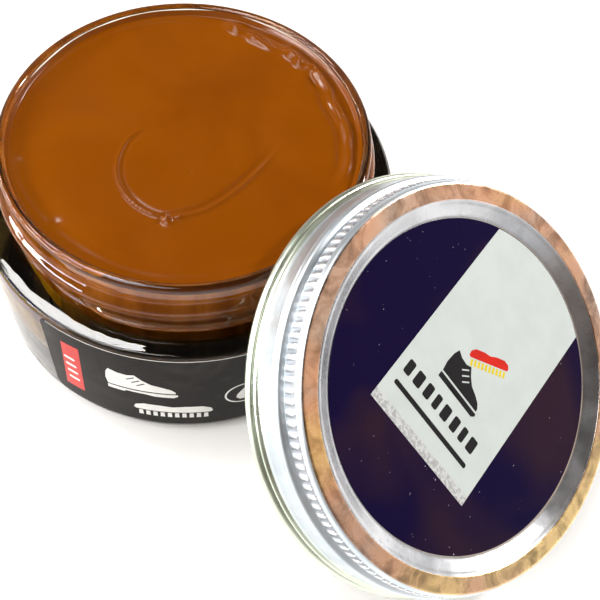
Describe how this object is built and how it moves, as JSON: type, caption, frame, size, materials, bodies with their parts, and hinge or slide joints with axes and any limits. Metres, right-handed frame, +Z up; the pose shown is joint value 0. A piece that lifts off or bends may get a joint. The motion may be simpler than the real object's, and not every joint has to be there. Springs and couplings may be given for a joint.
{
  "type": "shoe cream jar",
  "caption": "Squat round glass jar filled with shoe cream, with a shallow sheet-metal screw lid taken off and leaned on its side.",
  "frame": {"origin": "on the jar's axis, at the plane that the jar and the lid's rim stand on", "axes": "+Z up along the jar's axis; +X from the jar towards the side that the lid leans on; +Y completes a right-handed frame"},
  "size_m": [0.1059, 0.0636, 0.0428],
  "materials": {
    "jar_glass": "clear thick moulded glass, smooth",
    "cream": "soft orange-brown wax cream, wet gloss, smeared",
    "label_film": "near-black satin printed film",
    "tinplate": "bright tinplate under clear lacquer",
    "liner": "off-white coated pulpboard",
    "sticker": "dark navy gloss printed film with a white band"
  },
  "bodies": {
    "jar": {"glass_jar": "jar_glass", "shoe_cream": "cream", "wrap_label": "label_film"},
    "liner": {"lid_liner": "liner"},
    "lid": {"lid_shell": "tinplate", "lid_sticker": "sticker"}
  },
  "joints": [
    {"name": "lid_lift", "type": "slide", "parent": "jar", "child": "liner", "axis": [0.6259, 0, 0.7799], "range_m": [0, 0.06]},
    {"name": "lid_turn", "type": "hinge", "parent": "liner", "child": "lid", "pos_m": [0.0472, 0, 0.01887], "axis": [0.6259, 0, 0.7799], "continuous": true}
  ]
}
